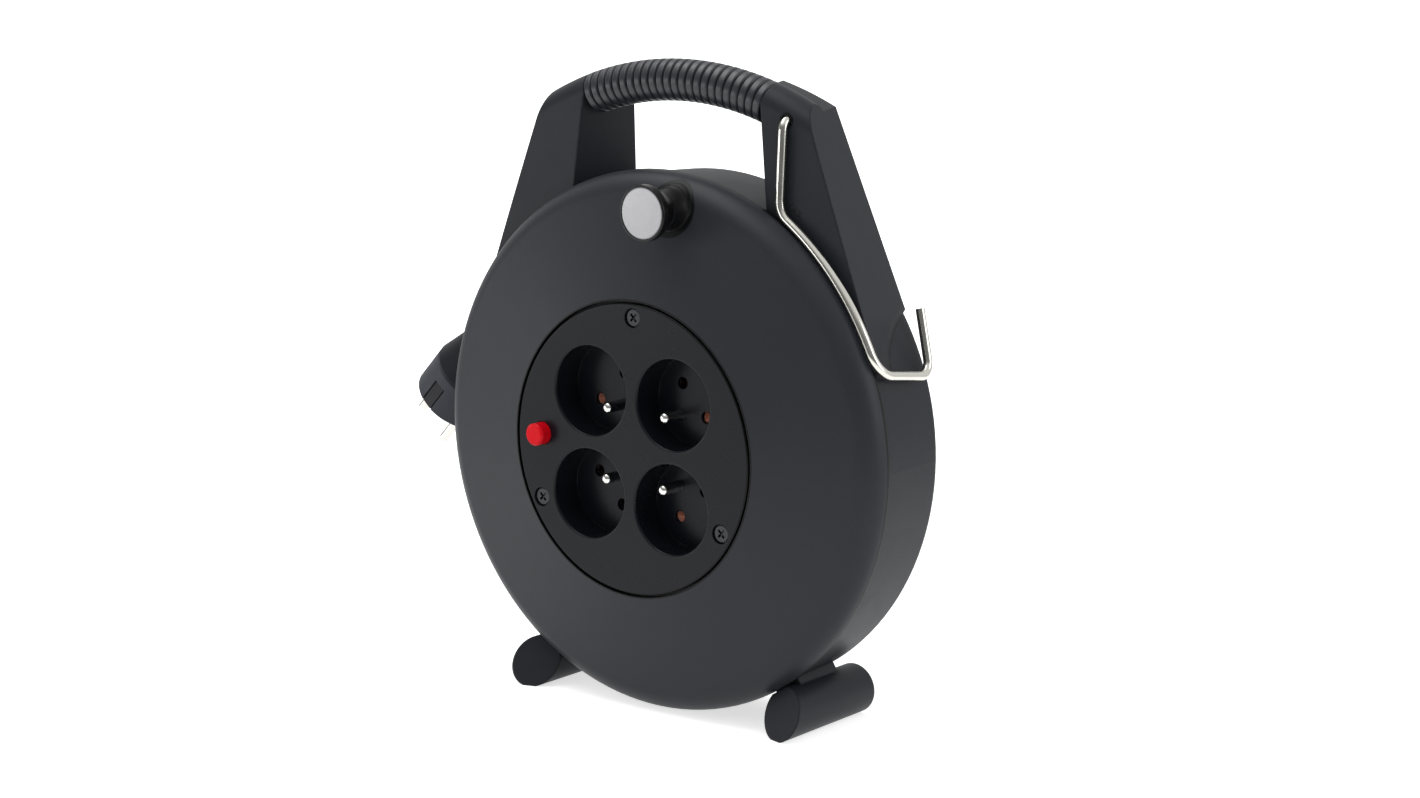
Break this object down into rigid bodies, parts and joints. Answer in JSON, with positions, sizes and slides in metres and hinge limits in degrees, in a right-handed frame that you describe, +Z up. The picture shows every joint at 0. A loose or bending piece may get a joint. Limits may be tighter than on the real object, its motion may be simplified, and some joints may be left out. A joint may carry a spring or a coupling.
{
  "type": "cable reel",
  "caption": "Closed extension cord reel: a turning flange with recessed sockets and a crank knob, a carrying handle, feet and a wire hook.",
  "frame": {"origin": "on the floor under the middle of the reel: midway between the sides of the flange and midway between the crank knob's front and the feet's back ends", "axes": "+Z up, front with the sockets towards -Y, drum axis along Y"},
  "size_m": [0.2948, 0.0816, 0.2874],
  "materials": {
    "charcoal": "fine matte grain, as moulded",
    "flange": "satin moulded shell",
    "plate": "smooth, slightly glossy black",
    "grip": "ribbed soft sleeve",
    "knob": "satin black",
    "cap": "pale grey disc, satin",
    "button": "glossy red",
    "cord": "matte black sheath",
    "plug": "moulded black rubber",
    "pins": "bright nickel plate",
    "wire": "bright zinc plate",
    "steel": "zinc-plated",
    "contact": "plain pressed metal",
    "bush": "turned",
    "inner": "plain moulded, closed in",
    "insulator": "plain moulded, closed in"
  },
  "bodies": {
    "frame": {"rear_housing": "charcoal", "left_post": "charcoal", "right_post": "charcoal", "grip_bar": "charcoal", "grip_sleeve": "grip", "left_foot": "charcoal", "right_foot": "charcoal", "outlet_bush": "charcoal", "retaining_washer": "steel", "spindle_screw": "steel", "supply_cord": "cord", "plug_body": "plug", "plug_pins": "pins", "plug_earth_clips": "pins"},
    "hook": {"wire_hook": "wire", "hook_clip": "wire"},
    "drum": {"drum_front": "flange", "drum_rear_flange": "inner", "drum_bush": "bush", "drum_screws": "steel", "wound_cord": "cord", "socket_plate": "plate", "plate_screws": "steel", "live_contacts": "contact", "neutral_contacts": "contact", "earth_contacts": "pins", "contact_carrier": "insulator", "thermal_cutout": "inner", "terminal_block": "insulator", "cord_clamp": "insulator", "knob_pin": "steel"},
    "button": {"reset_button": "button"},
    "knob": {"knob": "knob", "knob_cap": "cap"}
  },
  "joints": [
    {"name": "drum_spin", "type": "hinge", "parent": "frame", "child": "drum", "pos_m": [0, 0.01575, 0.1208], "axis": [0, 1, 0], "continuous": true},
    {"name": "knob_spin", "type": "hinge", "parent": "drum", "child": "knob", "pos_m": [0.01532, -0.03425, 0.22579], "axis": [0, 1, 0], "continuous": true},
    {"name": "reset_press", "type": "slide", "parent": "drum", "child": "button", "axis": [0, 1, 0], "range_m": [0, 0.0025], "stiffness_N_per_m": 400, "springref_m": -0.0005},
    {"name": "hook_swing", "type": "hinge", "parent": "frame", "child": "hook", "pos_m": [0.0627, 0.01075, 0.2647], "axis": [0, -1, 0], "range_deg": [0, 184]}
  ]
}
